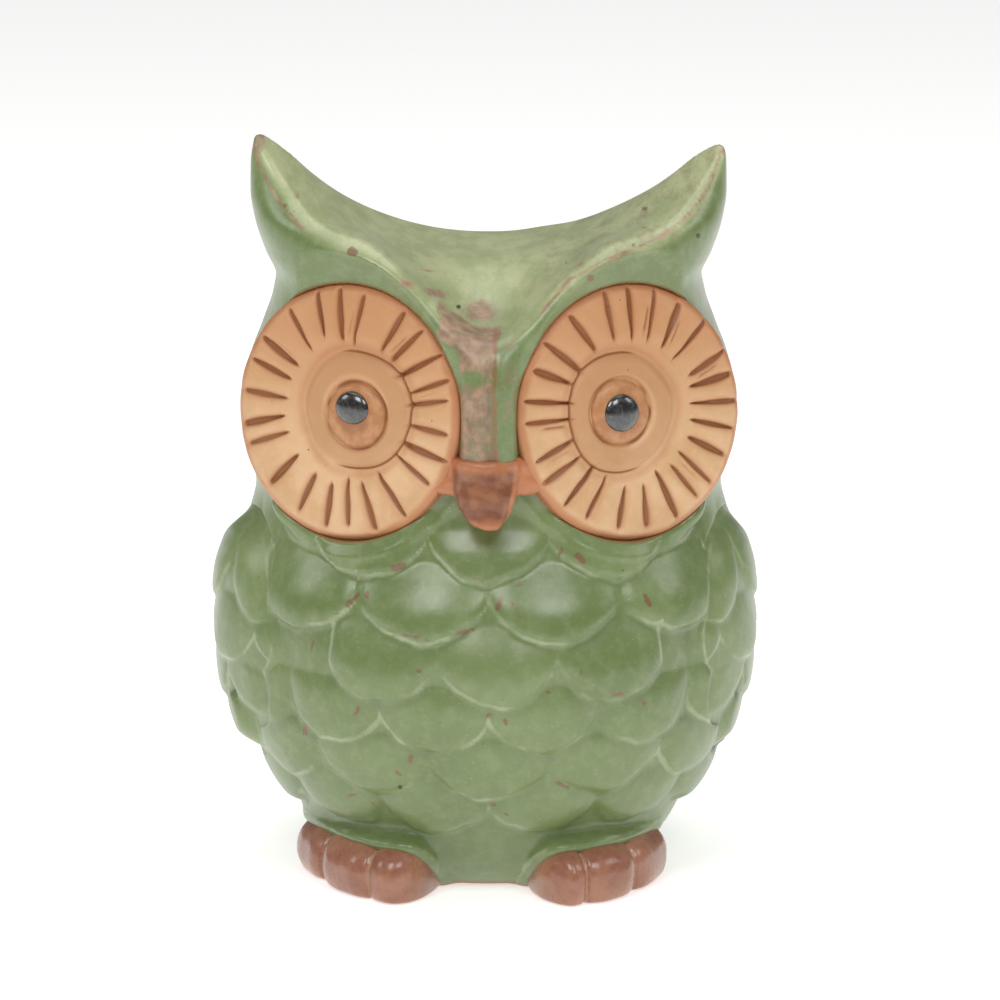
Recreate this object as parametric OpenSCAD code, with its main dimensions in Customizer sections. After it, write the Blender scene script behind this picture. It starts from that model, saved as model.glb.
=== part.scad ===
// Owl-shaped ceramic coin bank: a hollow slip-cast body with a coin slot in the
// back of the head, applied clay eyes, beak, feet and wings, and a rubber
// stopper in the base. The owl faces -Y, and +X is to the right of someone who
// looks at its face. The modules are drawn round the upright axis of the body;
// placed() then puts the middle of the whole owl, beak to back, at the origin.

/* [Overall size] */
// Height from the table to the ear tips
total_height = 158.8; // [154:0.2:164]
// Width of the belly without the wings
belly_width = 111; // [107:1:115]
// Depth of the belly from front to back
belly_depth = 103.5; // [101:0.5:106]

/* [Body shell] */
// Diameter of the round hole in the base
hole_diameter = 32; // [28:1:34]
// Diameter of the hollow under the base that hides the stopper's flange
recess_diameter = 46; // [42:1:48]
// Depth of that hollow
recess_depth = 4; // [3.5:0.5:5]
// Length of the coin slot
slot_length = 40; // [34:1:44]
// Height of the coin slot
slot_height = 5; // [4.5:0.25:6]
// Height of the coin slot's middle above the table
slot_level = 112; // [104:1:116]

/* [Eyes] */
// Diameter of an eye disc
disc_diameter = 55.8; // [53:0.2:57]
// Thickness of an eye disc at its rim
disc_thickness = 5.5; // [4:0.5:6]
// Distance of an eye disc's centre from the middle plane
eye_offset = 30.3; // [29:0.1:31.5]
// Height of an eye disc's centre above the table
eye_level = 106.5; // [105:0.5:108]
// Distance of an eye disc's front face before the middle of the bank
eye_front = 34.5; // [34:0.1:35.5]
// Angle by which an eye disc turns outwards
eye_yaw = 29; // [27:0.5:31]
// Angle by which an eye disc leans back
eye_pitch = 5; // [3:0.5:7]
// Diameter of the iris button
iris_diameter = 14.4; // [12:0.2:16]
// Diameter of the pupil bead
pupil_diameter = 7.2; // [6:0.2:8]

/* [Feet and wings] */
// Radius of the inner toe of a foot
toe_radius = 7.4; // [6.8:0.1:7.6]
// Distance from the upright axis of the body to the front of the inner toe
toe_reach = 54.5; // [53:0.5:57]
// Thickness of a wing over the body
wing_thickness = 3.2; // [2.4:0.1:4]

/* [Stopper] */
// Diameter of the stopper's flange
flange_diameter = 40; // [38:1:41]
// Radial gap between the stopper's plug and its hole
plug_gap = 0.05; // [0.03:0.01:0.1]
// Length of the plug above the flange
plug_length = 9; // [8:0.5:11]

/* [Hidden] */
$fn = 64;

glaze_green = [0.52, 0.61, 0.42];
terracotta = [0.84, 0.67, 0.50];
red_clay = [0.58, 0.37, 0.29];
bead_black = [0.05, 0.05, 0.06];
rubber_grey = [0.86, 0.85, 0.80];

// Size of the body that the tables of sections below describe
drawn_height = 158.8;
drawn_width = 111;
drawn_depth = 103.5;
tall = total_height / drawn_height;
wide = belly_width / drawn_width;
deep = belly_depth / drawn_depth;

// Cross-sections of the outside: height, half width, front, back, middle
outside = [
    [0, 29, -28, 28, 0],
    [8, 38.5, -36.5, 36.5, 0],
    [25, 48.5, -46.5, 45.5, 0],
    [38, 53.5, -51.5, 49.5, 0],
    [51, 55.5, -53, 50.5, 0],
    [64, 54.8, -50.5, 48.5, 0],
    [75, 52, -46, 46, 0],
    [83, 50.3, -44, 44.8, 0],
    [92, 52.3, -44, 44.3, 0],
    [101, 53.4, -44.5, 43.5, 0],
    [118, 49.2, -45.5, 38.5, 0],
    [131, 46, -44.5, 28.5, -2],
    [137, 48.2, -42.8, 21, -5],
    [144, 50.2, -38.5, 11, -8.5],
    [150, 51, -29, 3.5, -10.5],
    [160, 48.4, -17.5, -6.5, -12]
];

// Cross-sections of the hollow inside: height, half width, front, back, middle
inside = [
    [10, 26, -24, 24, 0],
    [14, 36, -34, 33, 0],
    [25, 43.5, -41.5, 40.5, 0],
    [50, 50.5, -48, 45.5, 0],
    [64, 49.5, -45, 43.5, 0],
    [76, 46.5, -40, 40.5, 0],
    [88, 45.5, -32, 39.5, 0],
    [107, 46, -31, 37.5, 0],
    [118, 42, -30, 33, 0],
    [125, 32, -23, 24, 0],
    [128.5, 16, -11, 12, 0]
];

around = 60;
outer_levels = 36;
inner_around = 36;
inner_levels = 20;

// Saddle between the ears, its valley above the beak and the two brows beside that
saddle_level = 134.9;
ear_rise = 28.7;
ear_half_span = 50;
valley_depth = 10.5;
valley_half_width = 12.5;
brow_height = 2.4;
brow_middle = 25;
brow_half_width = 9;

// Distance of the body's upright axis behind the middle of the whole owl
axis_offset = 2.1;
slot_start = 20;
slot_end = 60;
// How far a cutting shape reaches past the face that it cuts
past = 1;
nose_radius = 6.4;
nose_middle = -43;
nose_foot = 95;
nose_top = 126;
// Balls that the beak is stretched over: how far forward, height and radius
beak_balls = [[45, 93.5, 6.2], [49.4, 91, 5], [48, 85, 3]];
brow_tilt = 14;
brow_reach = 24;
brow_flare = 7;
// The discs' edges are rounded off, and their faces stand a little proud in the middle
disc_edge = 1.2;
disc_swell = 1;
eye_centre_shift = -1.5;
ring_height = 1.5;
ring_half_width = 2.4;
iris_ring_radius = iris_diameter / 2 + 3.2;
iris_seat_depth = 2.5;
// Height of the iris button's crown over the disc's rim
iris_crown = 3;
pupil_seat_depth = 1.5;
pupil_rise = 1.4;
// Each toe's angle from straight ahead, and its reach and radius less than the inner toe's
toes = [[20, 0, 0], [39, 3, 0.4], [57.5, 7, 1]];
toe_sink = 0.8;
toe_length = 14;
// Half width and height of the block that cuts the toes flat at the table
block_half = 80;
block_height = 40;
wing_span = 13;
wing_first_column = [24, -7];
wing_rows = [5, 18];
wing_outline_length = 80;
// Centre and radius of the shoulder, middle and tip, then of each feather end, in the side view
wing_frame = [[-8, 58, 19.5], [4, 42, 14], [20, 28, 3.5]];
wing_feathers = [[-19, 42, 8], [-10, 33, 7.5], [3, 28, 6]];
flange_thickness = 2;
seat_gap = 0.05;
rib_depth = 0.7;
rib_slope = 0.6;
rib_flat = 1.2;
cup_floor = 2;
cup_wall = 2.6;
plug_taper = 1.8;
grip_radius = 10;
grip_ceiling = 8;
pull_bar_width = 3.4;
pull_bar_inset = 0.6;
base_floor = inside[0][0] * tall;
plug_radius = hole_diameter / 2 - plug_gap;

// Slope of column c of a table of sections at row i
function section_slope(rows, i, c) =
    let (a = max(i - 1, 0), b = min(i + 1, len(rows) - 1))
    (rows[b][c] - rows[a][c]) / (rows[b][0] - rows[a][0]);

// Row of the table that starts the stretch holding height z
function section_row(rows, z, i = 0) =
    i >= len(rows) - 2 || z < rows[i + 1][0] ? i : section_row(rows, z, i + 1);

// Column c of a table of sections at height z, on a smooth curve through its rows
function section_at(rows, z, c) =
    let (i = section_row(rows, z),
        h = rows[i + 1][0] - rows[i][0],
        t = (z - rows[i][0]) / h)
    (1 + 2 * t) * pow(1 - t, 2) * rows[i][c]
    + t * pow(1 - t, 2) * h * section_slope(rows, i, c)
    + t * t * (3 - 2 * t) * rows[i + 1][c]
    + t * t * (t - 1) * h * section_slope(rows, i + 1, c);

function ease(t) = let (u = max(0, min(1, t))) u * u * (3 - 2 * u);

function signed_power(v, p) = sign(v) * pow(abs(v), p);

// Height of the top of the head and ears over a point of the plan
function crown(x, y) =
    let (ax = abs(x))
    saddle_level + ear_rise * pow(ax / ear_half_span, 2.15)
    - 0.3 * pow(ax / 45, 3) * max(0, -y - 4)
    - valley_depth * ease((-y - 4) / 38) * exp(-pow(ax / valley_half_width, 2))
    + brow_height * ease((-y - 10) / 24) * exp(-pow((ax - brow_middle) / brow_half_width, 2));

// Point of a section at height z and angle a, pushed outwards by a gap
function section_point(rows, z, a, gap = 0) =
    let (mid = section_at(rows, z, 4),
        half_w = section_at(rows, z, 1) + gap,
        half_d = (sin(a) < 0 ? mid - section_at(rows, z, 2) : section_at(rows, z, 3) - mid) + gap,
        power = 2 / (2 + 0.5 * ease((z - 84) / 12)),
        x = half_w * signed_power(cos(a), power),
        y = mid + half_d * signed_power(sin(a), power))
    [x, y, z];

function outer_point(z, a, gap = 0) =
    let (p = section_point(outside, z, a, gap))
    [p[0] * wide, p[1] * deep, min(p[2], crown(p[0], p[1])) * tall];

function inner_point(z, a) =
    let (p = section_point(inside, z, a))
    [p[0] * wide, p[1] * deep, p[2] * tall];

// Quads that join ring i to ring i + 1 of n points each
function band(i, n) =
    [for (j = [0:n - 1]) each
        let (k = (j + 1) % n)
        [[i * n + j, (i + 1) * n + j, (i + 1) * n + k], [i * n + j, (i + 1) * n + k, i * n + k]]];

// Strips that close the last ring of n points, from its front half to its back half
function lid(i, n) =
    [for (j = [0:n / 2 - 1]) each
        let (a = i * n + j, b = i * n + j + 1,
            c = i * n + (n - j - 1) % n, d = i * n + (n - j) % n)
        j == 0 ? [[a, c, b]] : j == n / 2 - 1 ? [[a, d, b]] : [[a, d, c], [a, c, b]]];

module outer_form() {
    levels = [for (i = [0:outer_levels]) i * outside[len(outside) - 1][0] / outer_levels];
    points = [for (z = levels) each [for (j = [0:around - 1]) outer_point(z, j * 360 / around)]];
    polyhedron(
        points = points,
        faces = concat(
            [[for (j = [0:around - 1]) j]],
            [for (i = [0:outer_levels - 1]) each band(i, around)],
            lid(outer_levels, around)),
        convexity = 6);
}

module hollow_form() {
    low = inside[0][0];
    high = inside[len(inside) - 1][0];
    points = [for (i = [0:inner_levels]) each
        [for (j = [0:inner_around - 1])
            inner_point(low + (high - low) * i / inner_levels, j * 360 / inner_around)]];
    polyhedron(
        points = points,
        faces = concat(
            [[for (j = [0:inner_around - 1]) j]],
            [for (i = [0:inner_levels - 1]) each band(i, inner_around)],
            [[for (j = [inner_around - 1:-1:0]) inner_levels * inner_around + j]]),
        convexity = 4);
}

// Puts its children on an eye disc's face, with +Z straight out of the face
module on_eye(side) {
    translate([side * eye_offset, -eye_front, eye_level])
        rotate([0, 0, side * eye_yaw])
            rotate([90 - eye_pitch, 0, 0])
                children();
}

// Hollow in front of an eye disc, which leaves the brow standing over it
module brow_hollow(side) {
    on_eye(side)
        rotate([-brow_tilt, 0, 0])
            cylinder(h = brow_reach, r1 = disc_diameter / 2 - 0.6, r2 = disc_diameter / 2 + brow_flare);
}

// Upright ridge between the eye discs
module nose_ridge() {
    translate([0, nose_middle, nose_foot])
        cylinder(h = nose_top - nose_foot, r = nose_radius);
}

module body_shell() {
    color(glaze_green)
        difference() {
            union() {
                outer_form();
                nose_ridge();
            }
            hollow_form();
            translate([0, 0, -past])
                cylinder(h = base_floor + 2 * past, r = hole_diameter / 2);
            translate([0, 0, -past])
                cylinder(h = recess_depth + past, r = recess_diameter / 2);
            translate([-slot_length / 2, slot_start, slot_level - slot_height / 2])
                cube([slot_length, slot_end - slot_start, slot_height]);
            for (side = [-1, 1]) {
                on_eye(side)
                    translate([0, 0, -disc_thickness])
                        cylinder(h = brow_reach, r = disc_diameter / 2);
                brow_hollow(side);
            }
        }
}

// Eye disc with a raised ring round the seat of its iris
module eye_disc(side) {
    r = disc_diameter / 2;
    t = disc_thickness;
    color(terracotta)
        on_eye(side)
            difference() {
                union() {
                    translate([0, 0, -t])
                        rotate_extrude()
                            polygon([
                                [0, 0],
                                [r, 0],
                                [r, t - disc_edge],
                                [r - disc_edge, t],
                                [r / 2, t + 0.7 * disc_swell],
                                [0, t + disc_swell]
                            ]);
                    translate([side * eye_centre_shift, 0, 0])
                        rotate_extrude()
                            polygon([
                                [iris_ring_radius - ring_half_width, 0],
                                [iris_ring_radius + ring_half_width, 0],
                                [iris_ring_radius + ring_half_width / 2, ring_height],
                                [iris_ring_radius - ring_half_width / 2, ring_height]
                            ]);
                }
                translate([side * eye_centre_shift, 0, -iris_seat_depth])
                    cylinder(h = 2 * disc_thickness, r = iris_diameter / 2);
            }
}

// Domed button that fills the seat in its eye disc
module iris(side) {
    r = iris_diameter / 2;
    d = iris_seat_depth;
    color(terracotta)
        on_eye(side)
            translate([side * eye_centre_shift, 0, -d])
                difference() {
                    rotate_extrude()
                        polygon([
                            [0, 0],
                            [r, 0],
                            [r, d + 0.4 * iris_crown],
                            [r * 0.8, d + 0.75 * iris_crown],
                            [r * 0.5, d + 0.93 * iris_crown],
                            [0, d + iris_crown]
                        ]);
                    translate([0, 0, d + iris_crown - pupil_seat_depth])
                        cylinder(h = iris_crown, r = pupil_diameter / 2);
                }
}

// Glossy bead set in the top of its iris
module pupil(side) {
    r = pupil_diameter / 2;
    ball = (r * r + pupil_rise * pupil_rise) / (2 * pupil_rise);
    level = iris_crown - pupil_seat_depth;
    color(bead_black)
        on_eye(side)
            translate([side * eye_centre_shift, 0, level])
                intersection() {
                    cylinder(h = 2 * iris_crown, r = r);
                    translate([0, 0, pupil_seat_depth + pupil_rise - ball])
                        sphere(r = ball);
                }
}

// Short blunt beak under the foot of the nose ridge
module beak() {
    color(red_clay)
        difference() {
            hull()
                for (ball = beak_balls)
                    translate([0, -ball[0], ball[1]])
                        sphere(r = ball[2], $fn = 32);
            outer_form();
            nose_ridge();
            for (side = [-1, 1])
                on_eye(side)
                    translate([0, 0, -disc_thickness])
                        cylinder(h = 2 * disc_thickness + past, r = disc_diameter / 2);
        }
}

// Three round toes that stick out from under the body, side by side
module foot(side) {
    color(red_clay)
        difference() {
            intersection() {
                union()
                    for (toe = toes) {
                        r = toe_radius - toe[2];
                        rotate([0, 0, side * toe[0]])
                            translate([0, -toe_reach + toe[1] + r, r - toe_sink]) {
                                sphere(r = r);
                                rotate([-90, 0, 0])
                                    cylinder(h = toe_length, r = r);
                            }
                    }
                translate([-block_half, -block_half, 0])
                    cube([2 * block_half, 2 * block_half, block_height]);
            }
            outer_form();
        }
}

// Closed slab over the side of the body, whose inner face is the body's own surface
module wing_blank(first_column) {
    step = 360 / around;
    rise = outside[len(outside) - 1][0] / outer_levels;
    n = wing_span + 1;
    m = wing_rows[1] - wing_rows[0] + 1;
    inner = [for (i = [wing_rows[0]:wing_rows[1]]) each
        [for (j = [0:wing_span]) outer_point(i * rise, (first_column + j) * step)]];
    outer = [for (i = [wing_rows[0]:wing_rows[1]]) each
        [for (j = [0:wing_span]) outer_point(i * rise, (first_column + j) * step, wing_thickness)]];
    k = n * m;
    grid = [for (i = [0:m - 2], j = [0:n - 2]) i * n + j];
    rim = concat(
        [for (j = [0:n - 2]) [j, j + 1]],
        [for (i = [0:m - 2]) [i * n + n - 1, (i + 1) * n + n - 1]],
        [for (j = [n - 1:-1:1]) [(m - 1) * n + j, (m - 1) * n + j - 1]],
        [for (i = [m - 1:-1:1]) [i * n, (i - 1) * n]]);
    polyhedron(
        points = concat(inner, outer),
        faces = concat(
            [for (q = grid) each [[q, q + n + 1, q + n], [q, q + 1, q + n + 1]]],
            [for (q = grid) each [[k + q, k + q + n, k + q + n + 1], [k + q, k + q + n + 1, k + q + 1]]],
            [for (e = rim) each [[e[0], k + e[0], k + e[1]], [e[0], k + e[1], e[1]]]]),
        convexity = 4);
}

// Side view of a folded wing: a round shoulder, a pointed tip and three feather ends
module wing_outline() {
    hull()
        for (f = wing_frame)
            translate([f[0], f[1]])
                circle(r = f[2]);
    for (f = wing_feathers)
        translate([f[0], f[1]])
            circle(r = f[2]);
}

// Feathered slab luted to the side of the body
module wing(side) {
    color(glaze_green)
        intersection() {
            wing_blank(wing_first_column[side < 0 ? 0 : 1]);
            translate([side < 0 ? -wing_outline_length : 0, 0, 0])
                rotate([90, 0, 90])
                    linear_extrude(height = wing_outline_length)
                        wing_outline();
        }
}

// Soft plug with a flange, grip ribs, a cup above and a pull bar below
module base_stopper() {
    seat = recess_depth - seat_gap;
    top = recess_depth + plug_length;
    low = seat - flange_thickness;
    first_rib = seat + 2;
    second_rib = first_rib + 2 * rib_slope + rib_flat;
    color(rubber_grey)
        difference() {
            rotate_extrude()
                polygon([
                    [0, low],
                    [flange_diameter / 2 - rib_slope, low],
                    [flange_diameter / 2, low + rib_slope],
                    [flange_diameter / 2, seat],
                    [plug_radius, seat],
                    [plug_radius, first_rib],
                    [plug_radius - rib_depth, first_rib + rib_slope],
                    [plug_radius - rib_depth, second_rib - rib_slope],
                    [plug_radius, second_rib],
                    [plug_radius, second_rib + rib_flat],
                    [plug_radius - rib_depth, second_rib + rib_flat + rib_slope],
                    [plug_radius - plug_taper, top],
                    [plug_radius - plug_taper - cup_wall, top],
                    [plug_radius - plug_taper - cup_wall, grip_ceiling + cup_floor],
                    [0, grip_ceiling + cup_floor]
                ]);
            difference() {
                translate([0, 0, low - past])
                    cylinder(h = grip_ceiling - low + past, r = grip_radius);
                translate([-grip_radius, -pull_bar_width / 2, low + pull_bar_inset])
                    cube([2 * grip_radius, pull_bar_width, grip_ceiling]);
            }
        }
}

module placed() {
    translate([0, axis_offset, 0])
        children();
}

placed() body_shell();
placed() eye_disc(-1);  // left_eye_disc
placed() eye_disc(1);  // right_eye_disc
placed() iris(-1);  // left_iris
placed() iris(1);  // right_iris
placed() pupil(-1);  // left_pupil
placed() pupil(1);  // right_pupil
placed() beak();
placed() wing(-1);  // left_wing
placed() wing(1);  // right_wing
placed() foot(-1);  // left_foot
placed() foot(1);  // right_foot
placed() base_stopper();
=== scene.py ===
"""Looks of the ceramic owl coin bank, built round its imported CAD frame.

Every clay piece is described by a field: a function that is negative inside the
clay and grows with the distance outside it, in millimetres, with the upright axis
of the body at x = y = 0 and the table at z = 0. The fields are meshed on a grid.
"""

import math

import bpy
import numpy as np
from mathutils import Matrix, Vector


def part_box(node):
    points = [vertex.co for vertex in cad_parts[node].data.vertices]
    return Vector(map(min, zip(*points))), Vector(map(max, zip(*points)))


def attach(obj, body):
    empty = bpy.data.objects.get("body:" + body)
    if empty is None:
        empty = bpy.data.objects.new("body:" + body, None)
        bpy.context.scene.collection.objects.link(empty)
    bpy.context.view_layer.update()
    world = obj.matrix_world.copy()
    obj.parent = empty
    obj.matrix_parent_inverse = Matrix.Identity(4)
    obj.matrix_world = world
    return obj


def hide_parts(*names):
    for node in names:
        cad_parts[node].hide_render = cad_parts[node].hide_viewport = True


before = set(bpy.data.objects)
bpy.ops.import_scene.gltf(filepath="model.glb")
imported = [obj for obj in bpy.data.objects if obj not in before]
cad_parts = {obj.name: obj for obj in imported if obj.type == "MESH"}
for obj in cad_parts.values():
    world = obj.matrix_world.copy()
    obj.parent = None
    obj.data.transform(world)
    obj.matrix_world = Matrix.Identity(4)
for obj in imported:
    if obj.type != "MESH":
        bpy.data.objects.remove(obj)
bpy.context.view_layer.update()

MM = 0.001
SHELL_STEP = 0.75
PIECE_STEP = 0.5
SIDE_NAME = {-1: "left", 1: "right"}

# The stopper is turned round the upright axis of the body, so its box gives that axis
stopper_low, stopper_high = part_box("base_stopper")
AXIS_Y = 0.5 * (stopper_low[1] + stopper_high[1]) / MM


# ---- small maths

def smooth_min(a, b, k):
    h = np.clip(0.5 + 0.5 * (b - a) / k, 0, 1)
    return b * (1 - h) + a * h - k * h * (1 - h)


def smooth_max(a, b, k):
    return -smooth_min(-a, -b, k)


def ease(t):
    t = np.clip(t, 0, 1)
    return t * t * (3 - 2 * t)


def curve(z, keys, values):
    """Smooth curve through the given points that never swings past them."""
    k = np.asarray(keys, float)
    v = np.asarray(values, float)
    step = np.diff(k)
    rise = np.diff(v) / step
    slope = np.empty_like(v)
    slope[0], slope[-1] = rise[0], rise[-1]
    w0, w1 = 2 * step[1:] + step[:-1], step[1:] + 2 * step[:-1]
    same = rise[:-1] * rise[1:] > 0
    safe0, safe1 = np.where(same, rise[:-1], 1), np.where(same, rise[1:], 1)
    slope[1:-1] = np.where(same, (w0 + w1) / (w0 / safe0 + w1 / safe1), 0)
    z = np.clip(z, k[0], k[-1])
    i = np.clip(np.searchsorted(k, z) - 1, 0, len(k) - 2)
    h = step[i]
    t = (z - k[i]) / h
    return ((1 + 2 * t) * (1 - t) ** 2 * v[i] + t * (1 - t) ** 2 * h * slope[i]
            + t * t * (3 - 2 * t) * v[i + 1] + t * t * (t - 1) * h * slope[i + 1])


def bearing(x, y):
    """Degrees from straight ahead, which is towards -y, towards +x."""
    return np.degrees(np.arctan2(x, -y))


def ripple(x, y, z, size, seed):
    """Gentle unevenness of hand-finished clay, about -1 to 1, with bumps of the given size."""
    rng = np.random.default_rng(seed)
    total = 0.0
    for _ in range(4):
        d = rng.normal(size=3)
        d *= 2 * math.pi / (size * rng.uniform(0.8, 1.3) * np.linalg.norm(d))
        total = total + np.sin(x * d[0] + y * d[1] + z * d[2] + rng.uniform(0, 6.28))
    return total / 2.6


# ---- form of the body

# Height, half width, front, back and middle of the outside's cross-sections
OUTSIDE = np.array([
    (0, 29, -28, 28, 0), (3, 33.5, -32, 32, 0), (8, 38.5, -36.5, 36.5, 0),
    (15, 42.5, -41, 40.5, 0), (25, 48.5, -46.5, 45.5, 0), (38, 53.5, -51.5, 49.5, 0),
    (51, 55.5, -53, 50.5, 0), (64, 54.8, -50.5, 48.5, 0), (75, 52, -46, 46, 0),
    (83, 50.3, -44, 44.8, 0), (92, 52.3, -44, 44.3, 0), (101, 53.4, -44.5, 43.5, 0),
    (110, 52, -45, 41.5, 0), (118, 49.2, -45.5, 38.5, 0), (125, 46.9, -45.5, 34, -0.5),
    (131, 46, -44.5, 28.5, -2), (137, 48.2, -42.8, 21, -5), (144, 50.2, -38.5, 11, -8.5),
    (150, 51.0, -29, 3.5, -10.5), (156, 50.9, -22, -2, -11.5), (164, 49.6, -17, -7, -12)])
# Height, half width, front and back of the hollow's cross-sections
INSIDE = np.array([
    (10, 26, -24, 24), (14, 36, -34, 33), (25, 43.5, -41.5, 40.5), (50, 50.5, -48, 45.5),
    (64, 49.5, -45, 43.5), (76, 46.5, -40, 40.5), (88, 45.5, -32, 39.5),
    (107, 46, -31, 37.5), (118, 42, -30, 33), (125, 32, -23, 24), (128.5, 16, -11, 12)])
FLOOR_TOP = 10
HOLLOW_TOP = 128.5
HOLE_RADIUS = 16
RECESS_RADIUS = 23
RECESS_DEPTH = 4
SLOT_LENGTH = 40
SLOT_HEIGHT = 5
SLOT_CORNER = 2.4
SLOT_LEVEL = 112

EYE = (30.3, -34.5, 106.5)
EYE_YAW = math.radians(29)
EYE_PITCH = math.radians(5)
EYE_RADIUS = 27.9
EYE_THICKNESS = 5.5
COLLAR_GAP = 3.0
SADDLE_LEVEL = 134.4
EAR_RISE = 30.5
EAR_PLACE = 50


def section_field(x, y, half_width, front, back, middle, power):
    """Distance-like field of a stack of superellipse cross-sections."""
    depth = np.where(y < middle, middle - front, back - middle)
    u, v = np.abs(x) / half_width, np.abs(y - middle) / depth
    r = (u ** power + v ** power) ** (1 / power) + 1e-9
    return np.hypot(x, y - middle) * (1 - 1 / r)


def body_field(x, y, z):
    level = OUTSIDE[:, 0]
    side, front, back, middle = (curve(z, level, OUTSIDE[:, c]) for c in (1, 2, 3, 4))
    return section_field(x, y, side, front, back, middle, 2.0 + 0.5 * ease((z - 84) / 12))


def hollow_field(x, y, z):
    level = INSIDE[:, 0]
    side, front, back = (curve(z, level, INSIDE[:, c]) for c in (1, 2, 3))
    f = section_field(x, y, side, front, back, 0 * z, 2.2)
    return smooth_max(f, np.maximum(FLOOR_TOP - z, z - HOLLOW_TOP), 3)


def crown_height(x, y):
    """Height of the saddle between the ears over a point of the plan."""
    ax = np.abs(x)
    rise = SADDLE_LEVEL + EAR_RISE * (ax / EAR_PLACE) ** 2.2
    uneven = 0.5 * np.exp(-((x - 12) / 5) ** 2) - 1.5 * (x / 49) ** 3
    lean = 0.42 * (ax / 45) ** 3.4 * np.maximum(0, -y - 6)
    valley = 10.5 * ease((-y - 4) / 38) * np.exp(-(ax / 12.5) ** 2)
    brow = 2.8 * np.exp(-((ax - 25) / 9) ** 2) * ease((-y - 10) / 24)
    return rise + uneven - lean - valley + brow


def eye_axes(side):
    """Outward, upward and facing directions of an eye disc."""
    facing = np.array([side * math.sin(EYE_YAW) * math.cos(EYE_PITCH),
                       -math.cos(EYE_YAW) * math.cos(EYE_PITCH), math.sin(EYE_PITCH)])
    outward = np.array([side * math.cos(EYE_YAW), math.sin(EYE_YAW), 0.0])
    upward = np.cross(facing, outward)
    return outward, upward * np.sign(upward[2]), facing


def eye_coords(x, y, z, side):
    """Outward, upward and facing distances from the centre of an eye disc's face."""
    p = (x - side * EYE[0], y - EYE[1], z - EYE[2])
    return [sum(p[i] * axis[i] for i in range(3)) for axis in eye_axes(side)]


def rim_radius(angle, side):
    """Radius of an eye disc's rim, slightly uneven as hand-cut discs are."""
    wave = 0.5 * np.cos(angle + 1.9) + 0.35 * np.cos(2 * angle + (0.6 if side < 0 else 2.2))
    narrow = 1.2 * np.cos(angle) ** 2 if side < 0 else 0.45 + 0.3 * np.cos(angle) ** 2
    return EYE_RADIUS + wave - narrow


def eye_rim(x, y, z, side):
    """Distances out from and in front of an eye disc's rim, and how far up it: 1 at its top."""
    u, v, s = eye_coords(x, y, z, side)
    angle = np.arctan2(v, u)
    return np.hypot(u, v) - rim_radius(angle, side), s, np.sin(angle)


def socket_field(x, y, z, side):
    """Negative in the flared hollow in front of an eye disc, under the brow."""
    out, ahead, up = eye_rim(x, y, z, side)
    flare = 0.15 + 1.35 * ease((up + 0.1) / 0.9)
    wall = out - flare * np.maximum(ahead, 0)
    return smooth_max(wall / np.sqrt(1 + flare ** 2), -(ahead + 2.2), 0.6)


def nose_field(x, y, z):
    """Ridge between the eye discs, with a groove down its front, widening into the brow."""
    front = -44.6 + ease((z - 84) / 40) + 4.2 * ease((z - 113) / 16)
    half_width = 6.3 + 3.5 * ease((z - 112) / 18)
    groove = np.exp(-((x - 0.5) / 1.1) ** 2) * ease((126 - z) / 10)
    depth = 6.6 - groove
    q = (np.abs(x / half_width) ** 2.6 + np.abs((y - front) / depth) ** 2.6) ** (1 / 2.6)
    f = (q - 1) * np.minimum(half_width, depth)
    return smooth_max(smooth_max(f, z - 131, 8), 94 - z, 4)


# ---- feathers and wings

# Rows of feathers down the body: level of the tips, number of feathers round the body, shift
# of the first feather from straight ahead as a part of their spacing, and the degrees from
# straight ahead past which the row stops in front of the wing
BODY_ROWS = [(71.6, 11, 0.0, 45), (59.3, 11, 0.5, 50), (46.2, 13, 0.07, 50),
             (35.5, 14, 0.5, 360), (24.2, 12, 0.0, 360), (15.4, 12, 0.5, 360)]
BODY_TOP = 84
WING_ROWS = [(58.0, 14, 0.44, 360), (47.3, 14, 0.94, 360),
             (36.6, 14, 0.44, 360), (26.4, 14, 0.94, 360)]
WING_TOP = 80
# Degrees from straight ahead past which a row that stopped at the wing goes on over the back
BACK_START = 112
WING_LIFT = {-1: 3.4, 1: 1.7}
WING_FEATHER_LIFT = 1.4
WING_FEATHER_PUFF = 0.7
WING_RADIUS = 54.0
FEATHER_LIFT = 1.15
FEATHER_PUFF = 1.9
BODY_RADIUS = 52.0
EDGE_SOFTNESS = 2.2
# Distance from a line or mark past which it leaves no trace
FAR = 9.0


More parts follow.
